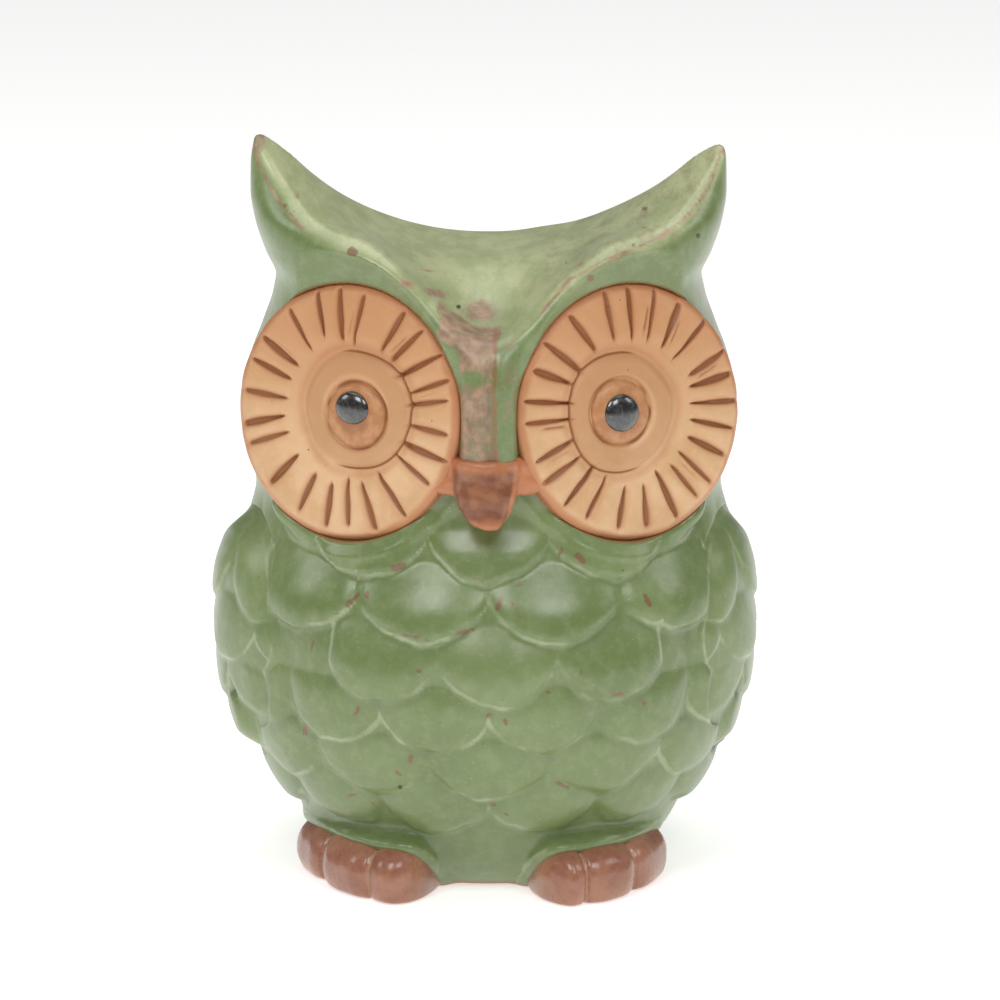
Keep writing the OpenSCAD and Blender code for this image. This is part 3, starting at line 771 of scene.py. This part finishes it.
def disc_height(u, v, side):
    """Height of an eye disc's face over the plane of its rim, and how deep in a groove it is."""
    rng = np.random.default_rng(40 + side)
    radius, angle = np.hypot(u, v), np.arctan2(v, u)
    rim = rim_radius(angle, side)
    height = FACE_CROWN * (1 - (radius / EYE_RADIUS) ** 2)
    cut = np.zeros_like(u)
    halo = np.zeros_like(u)
    petal = 0.6 * ease((radius - 13.5) / 4) * ease((rim - radius) / 3)
    for degrees in GROOVES[side]:
        a = math.radians(degrees + rng.uniform(-1, 1))
        bend = math.radians(rng.uniform(-4, 4))
        start = GROOVE_START + rng.uniform(-0.8, 1.6)
        end = GROOVE_END + rng.uniform(-1.4, 0.4)
        along = u * math.cos(a) + v * math.sin(a)
        across = -u * math.sin(a) + v * math.cos(a) + bend * (along - 21)
        share = np.clip((along - start) / (end - start), 0, 1)
        peak = rng.uniform(0.45, 0.7)
        width = rng.uniform(0.65, 1.05) * (0.3 + 0.7 * ease(1 - np.abs(share - peak) / 0.62))
        ends = ease((along - start) / 2.2) * ease((end - along) / 1.6)
        cut = np.maximum(cut, rng.uniform(0.85, 1.15) * ends * np.exp(-np.abs(across / width) ** 1.7))
        # Some grooves have a faint second scratch beside them
        twin = (across - rng.choice((-1.4, 1.4))) / 0.4
        faint = rng.uniform(0, 0.6) * (rng.random() < 0.4)
        scratch = ease((share - 0.1) * 5) * ease((0.8 - share) * 4) * np.exp(-twin ** 2)
        cut = np.maximum(cut, faint * scratch)
        valley = np.exp(-(across / 1.7) ** 2) * ease((along - start + 1) / 3) * ease((end + 2 - along) / 3)
        petal = petal - 0.32 * valley
        halo = np.maximum(halo, valley * ends)
    height = height + petal - GROOVE_DEPTH * cut
    cu, cv = RING_CENTRE[side]
    ring = np.hypot(u - cu, v - cv)
    wobble = 0.3 * np.sin(3 * angle + side) + 0.2 * np.sin(5 * angle + 1)
    past_ring = ring - RING_RADIUS - wobble
    moat = np.exp(-((past_ring - 0.7) / 1.3) ** 2)
    height = height + RING_RISE * ease(-past_ring / 2.2) - 0.35 * moat
    edge_cut = np.exp(-((past_ring + 0.4) / 0.3) ** 2) * ease((0.35 - np.cos(angle)) / 0.5)
    iu, iv = IRIS_CENTRE[side]
    iris_gap = np.hypot(u - iu, v - iv) - IRIS_RADIUS
    seat = np.exp(-((iris_gap - 0.1) / 0.55) ** 2)
    broken = 0.55 + 0.45 * np.sin(2 * angle + 1.4 * side) * np.cos(3 * angle + 1)
    height = height - 0.45 * edge_cut - 0.75 * seat
    outer = rim - radius
    roll = np.clip(1 - outer / 1.6, 0, 1) ** 2.2
    pillow = 0.16 * ripple(u, v, 0 * u, 11, 21 + side) + 0.05 * ripple(u, v, 0 * u, 3.5, 31 + side)
    groove_mark = np.maximum(np.maximum(cut, 0.3 * halo), np.maximum(0.85 * edge_cut, 0.36 * moat))
    groove_mark = np.maximum(groove_mark, broken * np.exp(-((iris_gap - 0.1) / 0.45) ** 2))
    return height - roll + pillow, groove_mark, ring, outer


def eye_points(u, v, s, side):
    """Points at the given outward, upward and facing distances from the centre of a disc's face."""
    outward, upward, facing = eye_axes(side)
    centre = np.array([side * EYE[0], EYE[1], EYE[2]])
    return centre + u[:, None] * outward + v[:, None] * upward + s[:, None] * facing


def round_faces(around, rings, side):
    """Quads of a closed round piece: a first point, rings of points and a last point."""
    row = np.arange(around)
    after = (row + 1) % around
    first = np.zeros_like(row)
    last = np.full_like(row, 1 + rings * around)
    outer = 1 + (rings - 1) * around
    faces = [np.stack([first, first, 1 + row, 1 + after], 1)]
    faces += [np.stack([row, row + around, after + around, after], 1) + 1 + i * around
              for i in range(rings - 1)]
    faces.append(np.stack([outer + after, outer + row, last, last], 1))
    quads = np.concatenate(faces)
    return quads[:, ::-1] if side < 0 else quads


def make_disc(side):
    """Closed disc with a cut and modelled face, on rings of points round its centre."""
    rings, around = ((150, 540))
    share = np.concatenate([np.linspace(0, 0.93, rings - 20), np.linspace(0.93, 1, 21)[1:]])
    angle = np.linspace(0, 2 * math.pi, around, endpoint=False)
    rim = rim_radius(angle, side)
    back_shares = [1.0, 1.0, 0.97, 0.6]
    back_levels = [-2.2, -4.6, -EYE_THICKNESS, -EYE_THICKNESS]
    reach = np.concatenate([share[1:], back_shares])[:, None] * rim
    u = np.concatenate([[0.0], (reach * np.cos(angle)).ravel(), [0.0]])
    v = np.concatenate([[0.0], (reach * np.sin(angle)).ravel(), [0.0]])
    height, mark, ring, outer = disc_height(u, v, side)
    face = 1 + (len(share) - 1) * around
    height[face:-1] = np.repeat(back_levels, around)
    height[-1] = -EYE_THICKNESS
    return make_object(SIDE_NAME[side] + "_eye_face", eye_points(u, v, height, side),
                       round_faces(around, len(reach), side),
                       {"groove": mark, "ring": ring, "rim": outer, "up": v / EYE_RADIUS})


def make_button(name, side, centre, profile, uneven, stretch=1.0, around=160):
    """Round piece on an eye disc, from a list of (radius, height) down to its underside."""
    angle = np.linspace(0, 2 * math.pi, around, endpoint=False)
    wave = 1 + uneven * (np.cos(2 * angle + side) + 0.6 * np.cos(3 * angle + 1))
    radius, height = np.array(profile[1:]).T
    reach = radius[:, None] * wave
    u = centre[0] + np.concatenate([[0.0], (stretch * reach * np.cos(angle)).ravel(), [0.0]])
    v = centre[1] + np.concatenate([[0.0], (reach * np.sin(angle)).ravel(), [0.0]])
    s = np.concatenate([[profile[0][1]], np.repeat(height, around), [height[-1]]])
    return make_object(name, eye_points(u, v, s, side), round_faces(around, len(reach), side),
                       {"reach": np.hypot(u - centre[0], v - centre[1])})


def dome(radius, base, rise, rings=14):
    turns = [0.5 * math.pi * i / rings for i in range(rings + 1)]
    return [(radius * math.sin(turn), base + rise * math.cos(turn)) for turn in turns]


def make_iris(side):
    """Flat-topped button that sits in the ring, with a pressed line round it."""
    name = SIDE_NAME[side] + "_iris_button"
    bends = [(0.0, 3.1), (3.0, 3.05), (5.0, 2.9), (5.9, 2.65), (6.4, 2.35), (6.8, 1.9), (7.02, 1.4),
             (IRIS_RADIUS, 0.9), (IRIS_RADIUS, 0.0), (IRIS_RADIUS, -1.5)]
    profile = [bends[0]]
    for (r0, h0), (r1, h1) in zip(bends[:-1], bends[1:]):
        profile += [(r0 + (r1 - r0) * t, h0 + (h1 - h0) * t) for t in (1 / 3, 2 / 3, 1)]
    return make_button(name, side, IRIS_CENTRE[side], profile, 0.012)


def make_pupil(side):
    """Glossy bead that sits in the iris."""
    name = SIDE_NAME[side] + "_pupil_bead"
    radius = PUPIL_RADIUS[side]
    profile = dome(radius, 2.7, 1.75) + [(radius, 2.2), (radius * 0.9, 1.6)]
    return make_button(name, side, PUPIL_CENTRE[side], profile, 0.014, PUPIL_STRETCH[side])


# ---- stopper

FLANGE_THICKNESS = 2.0
RIB_SPACING = 3.6
CUP_RADIUS = 11.5
CUP_FLOOR = 10
GRIP_RADIUS = 10
GRIP_TOP = 8
GRIP_HALF_WIDTH = 1.7


def make_stopper():
    """Soft plug: flange with rounded edge, ribs, cup above and pull bar below."""
    plug = HOLE_RADIUS - 0.05
    bottom = stopper_low[2] / MM
    top = stopper_high[2] / MM
    flange = 0.5 * (stopper_high[0] - stopper_low[0]) / MM
    seat = bottom + FLANGE_THICKNESS

    def field(x, y, z):
        radius = np.hypot(x, y)
        disc = smooth_max(radius - flange, np.maximum(bottom - z, z - seat), 0.7)
        wave = 0.5 + 0.5 * np.cos((z - seat - 1.2) * 2 * math.pi / RIB_SPACING)
        ribs = 0.7 * wave * ease((z - seat - 1.4) / 1.2)
        taper = 1.1 * ease((z - top + 2.4) / 2.4)
        side = radius - plug + 0.7 * ease((z - seat - 1) / 1.5) - ribs + taper
        f = smooth_min(disc, smooth_max(side, np.maximum(seat - 1 - z, z - top), 0.4), 0.3)
        f = smooth_max(f, -np.maximum(radius - CUP_RADIUS + 0.15 * (top - z), CUP_FLOOR - z), 0.6)
        bar = smooth_max(np.abs(y) - GRIP_HALF_WIDTH, bottom + 0.6 - z, 0.8)
        return smooth_max(f, -smooth_max(np.maximum(radius - GRIP_RADIUS, z - GRIP_TOP), -bar, 0.5), 0.5)

    verts, quads = mesh_field(field, (-22, -22, 0.5), (22, 22, 15), PIECE_STEP)
    return make_object("stopper_plug", verts, quads)


# ---- materials

class Nodes:
    """Short-hand for building a material: its node tree, its shader and the colour so far."""

    def __init__(self, name):
        self.material = bpy.data.materials.new(name)
        self.material.use_nodes = True
        self.tree = self.material.node_tree
        self.tree.nodes.clear()
        self.shader = self.tree.nodes.new("ShaderNodeBsdfPrincipled")
        out = self.tree.nodes.new("ShaderNodeOutputMaterial")
        self.tree.links.new(self.shader.outputs[0], out.inputs["Surface"])
        self.place = self.tree.nodes.new("ShaderNodeTexCoord").outputs["Object"]
        self.colour = None

    def feed(self, value, socket):
        if isinstance(value, bpy.types.NodeSocket):
            self.tree.links.new(value, socket)
        else:
            socket.default_value = value

    def node(self, kind, inputs, **settings):
        """New node; each of its inputs is a value or another node's output."""
        node = self.tree.nodes.new("ShaderNode" + kind)
        for key, value in settings.items():
            setattr(node, key, value)
        for key, value in inputs.items():
            self.feed(value, node.inputs[key])
        return node

    def attribute(self, name):
        return self.node("Attribute", {}, attribute_name=name).outputs["Fac"]

    def math(self, operation, a, b=0.0):
        return self.node("Math", {0: a, 1: b}, operation=operation).outputs[0]

    def times(self, a, b):
        return self.math("MULTIPLY", a, b)

    def span(self, value, low, high, to_low=0.0, to_high=1.0):
        """Maps a value from one range smoothly to another, and stops at its ends."""
        inputs = {"Value": value, "From Min": low, "From Max": high, "To Min": to_low, "To Max": to_high}
        return self.node("MapRange", inputs, interpolation_type="SMOOTHSTEP").outputs["Result"]

    def noise(self, size_mm, detail=3.0, rough=0.55, stretch=(1, 1, 1)):
        """Noise whose features are about the given size, 0 to 1."""
        mapping = self.node("Mapping", {"Vector": self.place, "Scale": stretch})
        inputs = {"Vector": mapping.outputs["Vector"], "Scale": 1 / (size_mm * MM),
                  "Detail": detail, "Roughness": rough}
        return self.node("TexNoise", inputs).outputs["Fac"]

    def ragged(self, value, noise, amount):
        """The value with noise of the given amount added, as much down as up."""
        return self.math("ADD", value, self.times(self.math("SUBTRACT", noise, 0.5), amount))

    def dots(self, size_mm, low, high):
        """Small round specks, 1 in a speck, about one to each cell of the given size."""
        cells = self.node("TexVoronoi", {"Vector": self.place, "Scale": 1 / (size_mm * MM)})
        return self.span(cells.outputs["Distance"], low, high, 1.0, 0.0)

    def mix(self, share, a, b):
        return self.node("Mix", {0: share, 6: a, 7: b}, data_type="RGBA").outputs[2]

    def ground(self, share, first, second):
        """Starts the colour between two, given as 0 to 255."""
        self.colour = self.mix(share, srgb(*first), srgb(*second))

    def paint(self, rgb, share, strength=1.0):
        """Lays a colour, given as 0 to 255, over the colour so far, as far as the share says."""
        if strength != 1.0:
            share = self.times(share, strength)
        self.colour = self.mix(share, self.colour, srgb(*rgb))

    def bump(self, height, strength, distance_mm):
        inputs = {"Height": height, "Strength": strength, "Distance": distance_mm * MM}
        self.feed(self.node("Bump", inputs).outputs["Normal"], self.shader.inputs["Normal"])

    def finish(self, roughness, **constants):
        self.feed(self.colour, self.shader.inputs["Base Color"])
        self.feed(roughness, self.shader.inputs["Roughness"])
        for key, value in constants.items():
            self.shader.inputs[key.replace("_", " ")].default_value = value
        return self.material


def srgb(red, green, blue):
    """Linear colour from the usual 0 to 255 values."""
    channel = lambda c: c / 12.92 if c <= 0.04045 else ((c + 0.055) / 1.055) ** 2.4
    return tuple(channel(c / 255) for c in (red, green, blue)) + (1.0,)


def green_glaze():
    n = Nodes("sage_green_glaze")
    cloud = n.noise(30)
    fine = n.noise(3.0, 4)
    streaky = (1, 0.5, 1)
    n.ground(n.span(cloud, 0.35, 0.68), (103, 122, 69), (118, 136, 83))
    n.paint((143, 157, 114), n.span(fine, 0.4, 0.72), 0.3)
    n.paint((156, 170, 128), n.span(n.noise(0.9, 3, 0.6), 0.52, 0.72), 0.16)
    # Thin glaze over the top of the head shows more of the clay
    head = n.attribute("head")
    n.paint((178, 186, 136), head, 0.7)
    thin = n.times(head, n.span(n.noise(8, 6, 0.75, streaky), 0.40, 0.62))
    n.paint((198, 200, 156), thin, 0.6)
    stained = n.times(n.attribute("stain"), n.span(n.noise(4.5, 6, 0.8, streaky), 0.46, 0.66))
    n.paint((138, 124, 86), stained, 0.55)
    # Painted shade darkens the glaze under each feather edge and towards the bottom of the body; the glaze
    # breaks pale along each feather's crest
    painted_shade = n.times(n.attribute("shade"), n.span(n.noise(7), 0.3, 0.6, 0.5, 1.0))
    n.paint((98, 115, 76), painted_shade, 0.36)
    crest = n.ragged(n.attribute("crest"), n.noise(2.2), 0.7)
    line = n.times(n.span(crest, 0.1, 0.75, 1.0, 0.0), n.span(n.noise(13), 0.42, 0.62))
    n.paint((166, 178, 138), line, 0.7)
    # Rust marks and patches
    rust = n.span(n.ragged(n.attribute("rust"), n.noise(1.6), 1.3), -0.18, 0.24, 1.0, 0.0)
    patch = n.attribute("patch")
    mottled = n.ragged(patch, n.noise(3.0, 6, 0.8, (1, 0.45, 1)), 1.5)
    patchy = n.times(n.span(mottled, 0.3, 0.8), n.span(patch, 0.03, 0.2))
    clay = n.mix(n.span(fine, 0.35, 0.65), srgb(178, 138, 116), srgb(134, 100, 78))
    n.colour = n.mix(n.times(patchy, 0.85), n.colour, clay)
    n.paint((122, 86, 60), rust, 0.85)
    specks = n.times(n.dots(2.6, 0.055, 0.10), n.span(n.noise(12, 2), 0.52, 0.62))
    n.paint((96, 92, 66), specks, 0.65)
    pale = n.times(n.dots(1.7, 0.06, 0.12), n.span(n.noise(8, 2), 0.5, 0.62))
    n.paint((190, 202, 160), pale, 0.35)
    n.paint((146, 98, 66), n.span(n.attribute("dark"), 0.3, 0.9), 0.65)
    pin = n.span(n.attribute("pin"), -0.1, 0.15, 1.0, 0.0)
    n.paint((48, 44, 38), pin, 0.9)
    # Bare clay on the foot ring, thinly washed clay inside
    bare = n.attribute("bare")
    n.colour = n.mix(bare, n.colour, n.mix(fine, srgb(176, 122, 88), srgb(150, 100, 70)))
    n.paint((158, 108, 78), n.attribute("inner"))
    rough = n.math("ADD", n.span(cloud, 0.3, 0.7, 0.30, 0.40), n.times(bare, 0.35))
    rough = n.math("ADD", rough, n.times(patchy, 0.1))
    height = n.math("ADD", n.noise(6.5, 2), n.times(n.noise(0.7), 0.06))
    height = n.math("SUBTRACT", height, n.times(pin, 0.5))
    n.bump(height, 0.35, 0.5)
    return n.finish(rough, Specular_IOR_Level=0.6, Coat_Weight=0.35, Coat_Roughness=0.26)


def buff_clay():
    n = Nodes("buff_terracotta")
    groove = n.attribute("groove")
    ring = n.attribute("ring")
    rim = n.attribute("rim")
    cloud = n.noise(12)
    n.ground(n.span(cloud, 0.36, 0.66), (207, 164, 118), (222, 182, 140))
    n.paint((232, 196, 152), n.span(n.noise(1.8, 4), 0.5, 0.8), 0.3)
    # Painted shade of the overhanging brow makes the disc darker and redder towards the top; the disc is
    # also redder in a band round the iris and at the rim
    upper = n.ragged(n.attribute("up"), cloud, 1.2)
    n.paint((196, 136, 90), n.span(upper, -0.35, 0.75), 0.75)
    band = n.times(n.span(ring, 7.3, 8.6), n.span(ring, 11.8, 13.2, 1.0, 0.0))
    n.paint((184, 132, 88), band, 0.6)
    edge = n.ragged(n.span(rim, 0.3, 2.8, 1.0, 0.0), n.noise(5), 0.6)
    n.paint((190, 122, 80), n.span(edge, 0.25, 0.95), 0.75)
    n.paint((196, 134, 88), n.span(groove, 0.05, 0.3), 0.32)
    n.paint((140, 82, 42), n.span(groove, 0.25, 0.75), 0.88)
    n.paint((160, 100, 64), n.span(rim, -0.1, 0.5, 0.5, 0.0))
    specks = n.times(n.dots(3.4, 0.035, 0.07), n.span(n.noise(9, 2), 0.54, 0.6))
    n.paint((96, 62, 44), specks)
    height = n.math("ADD", n.times(n.noise(4.5), 0.8), n.times(n.noise(0.5, 2), 0.08))
    n.bump(height, 0.3, 0.4)
    rough = n.span(cloud, 0.3, 0.7, 0.42, 0.52)
    return n.finish(rough, Specular_IOR_Level=0.45, Coat_Weight=0.12, Coat_Roughness=0.35)


def iris_clay():
    n = Nodes("iris_terracotta")
    reach = n.attribute("reach")
    n.ground(n.span(n.noise(2.4, 4), 0.35, 0.7), (176, 119, 76), (195, 142, 97))
    n.paint((142, 88, 54), n.span(reach, 6.75, 7.4), 0.85)
    n.paint((150, 98, 62), n.span(reach, 3.2, 4.6, 0.55, 0.0))
    n.bump(n.noise(3.0), 0.25, 0.35)
    return n.finish(0.42, Specular_IOR_Level=0.45, Coat_Weight=0.2, Coat_Roughness=0.3)


def brown_glaze():
    n = Nodes("red_brown_glaze")
    fine = n.noise(1.4, 4)
    n.ground(n.span(n.noise(7, 4), 0.35, 0.68), (146, 92, 70), (168, 116, 90))
    n.paint((178, 130, 104), n.span(fine, 0.45, 0.75), 0.3)
    crease = n.ragged(n.attribute("crease"), n.noise(2), 1.2)
    n.paint((196, 152, 122), n.span(crease, 0.0, 0.75, 0.7, 0.0))
    specks = n.times(n.dots(1.2, 0.08, 0.14), n.span(n.noise(6, 2), 0.55, 0.66))
    n.paint((90, 66, 54), specks, 0.5)
    n.bump(n.noise(3.2), 0.3, 0.5)
    rough = n.span(fine, 0.3, 0.7, 0.26, 0.36)
    return n.finish(rough, Specular_IOR_Level=0.5, Coat_Weight=0.4, Coat_Roughness=0.15)


def beak_glaze():
    n = Nodes("beak_glaze")
    wander = n.noise(2.2)
    n.ground(n.span(n.noise(4), 0.35, 0.65), (124, 72, 44), (150, 96, 62))
    n.paint((170, 118, 88), n.span(n.noise(1.8, 4), 0.5, 0.8), 0.25)
    side = n.ragged(n.attribute("web"), wander, 1.1)
    n.paint((188, 120, 78), n.span(side, -0.5, 1.3))
    line = n.span(n.math("ABSOLUTE", side), 0.05, 0.45, 1.0, 0.0)
    n.paint((112, 66, 44), line, 0.35)
    tip = n.ragged(n.attribute("tip"), wander, 1.1)
    n.paint((184, 116, 76), n.span(tip, -0.8, 1.0), 0.8)
    n.bump(n.noise(2.6), 0.4, 0.6)
    return n.finish(0.38, Specular_IOR_Level=0.5, Coat_Weight=0.25, Coat_Roughness=0.2)


def black_glaze():
    n = Nodes("black_bead_glaze")
    n.ground(n.span(n.noise(1.1, 4, 0.7), 0.42, 0.66), (16, 16, 18), (66, 67, 66))
    n.bump(n.noise(1.6, 2), 0.12, 0.2)
    return n.finish(0.24, Specular_IOR_Level=0.8, Coat_Weight=1.0, Coat_Roughness=0.1)


def rubber():
    n = Nodes("stopper_rubber")
    n.ground(n.span(n.noise(8), 0.35, 0.7), (214, 210, 196), (226, 223, 212))
    n.paint((180, 174, 158), n.span(n.noise(0.9), 0.6, 0.8), 0.25)
    height = n.math("ADD", n.noise(0.6, 2), n.times(n.noise(5, 2), 0.6))
    n.bump(height, 0.25, 0.12)
    return n.finish(0.55, Specular_IOR_Level=0.4)


def dress(piece, body, slot, material, *nodes):
    """Gives a piece its material and its body, and hides the CAD nodes it stands for; its slot is not used.
    """
    piece.data.materials.append(material)
    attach(piece, body)
    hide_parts(*nodes)


# ---- assembly

def build():
    green, buff, iris, brown, black = green_glaze(), buff_clay(), iris_clay(), brown_glaze(), black_glaze()
    dress(make_shell(), "shell", "green_glaze", green, "body_shell")
    dress(make_beak(), "shell", "brown_clay", beak_glaze(), "beak")
    for side, word in SIDE_NAME.items():
        dress(make_disc(side), "shell", "buff_clay", buff, word + "_eye_disc")
        dress(make_iris(side), "shell", "buff_clay", iris, word + "_iris")
        dress(make_pupil(side), "shell", "black_glaze", black, word + "_pupil")
        dress(make_wing(side), "shell", "green_glaze", green, word + "_wing")
        dress(make_foot(side), "shell", "brown_clay", brown, word + "_foot")
    dress(make_stopper(), "stopper", "stopper_rubber", rubber(), "base_stopper")


# ---- floor, lights, camera

OBJECT_MIDDLE = (0, 0, 0.07)
# Name, place, width and depth in metres, power in watts and colour of each light
LIGHTS = [("key_softbox", (-0.35, -0.80, 0.95), (0.45, 0.45), 4.4, (1.0, 0.99, 0.97)),
          ("fill_softbox", (0.42, -0.85, 0.92), (0.40, 0.40), 3.5, (0.98, 0.99, 1.0)),
          ("top_softbox", (0, 0.25, 1.1), (1.2, 0.9), 5.4, (1, 1, 1)),
          ("left_softbox", (-1.1, -0.05, 0.75), (0.4, 0.4), 1.9, (1, 1, 1)),
          ("right_softbox", (1.1, -0.05, 0.75), (0.4, 0.4), 1.6, (1, 1, 1))]
AMBIENT = 0.18
BACKDROP = 0.7
FLOOR_HALF = 8.0
CAMERA_ELEVATION = LOOKING_DOWN
CAMERA_DISTANCE = 1.9
FRAME_WIDTH = 0.2175
SENSOR = 36.0
CAMERA_AIM = (0.0024, AXIS_Y * MM, 0.0789)


def make_stage():
    mesh = bpy.data.meshes.new("floor")
    h = FLOOR_HALF
    mesh.from_pydata([(-h, -h, 0), (h, -h, 0), (h, h, 0), (-h, h, 0)], [], [(0, 1, 2, 3)])
    n = Nodes("pale_floor")
    n.colour = srgb(244, 243, 242)
    mesh.materials.append(n.finish(0.6, Specular_IOR_Level=0.2, Emission_Color=(1, 1, 1, 1),
                                   Emission_Strength=0.54))
    place("floor", mesh)


def point(thing, aim):
    thing.rotation_euler = (Vector(aim) - Vector(thing.location)).to_track_quat("-Z", "Y").to_euler()


def make_lights():
    for name, location, size, power, colour in LIGHTS:
        data = bpy.data.lights.new(name, "AREA")
        data.shape = "RECTANGLE"
        data.size, data.size_y = size
        data.energy = power
        data.color = colour
        lamp = place(name, data)
        lamp.location = location
        point(lamp, OBJECT_MIDDLE)


def make_world():
    """Even white surroundings: dim as a light, and as pale as the far floor where they are seen."""
    world = bpy.data.worlds.new("studio")
    world.use_nodes = True
    tree = world.node_tree
    background = tree.nodes["Background"]
    background.inputs["Color"].default_value = (1, 1, 1, 1)
    seen = tree.nodes.new("ShaderNodeLightPath").outputs["Is Camera Ray"]
    strength = tree.nodes.new("ShaderNodeMapRange")
    strength.inputs["To Min"].default_value = AMBIENT
    strength.inputs["To Max"].default_value = BACKDROP
    tree.links.new(seen, strength.inputs["Value"])
    tree.links.new(strength.outputs["Result"], background.inputs["Strength"])
    bpy.context.scene.world = world


def make_camera():
    data = bpy.data.cameras.new("camera")
    data.sensor_width = SENSOR
    data.lens = SENSOR * CAMERA_DISTANCE / FRAME_WIDTH
    camera = place("camera", data)
    camera.location = (CAMERA_AIM[0],
                       CAMERA_AIM[1] - CAMERA_DISTANCE * math.cos(CAMERA_ELEVATION),
                       CAMERA_AIM[2] + CAMERA_DISTANCE * math.sin(CAMERA_ELEVATION))
    point(camera, CAMERA_AIM)
    bpy.context.scene.camera = camera


build()
make_stage()
make_lights()
make_world()
make_camera()
bpy.context.scene.view_settings.view_transform = "Standard"
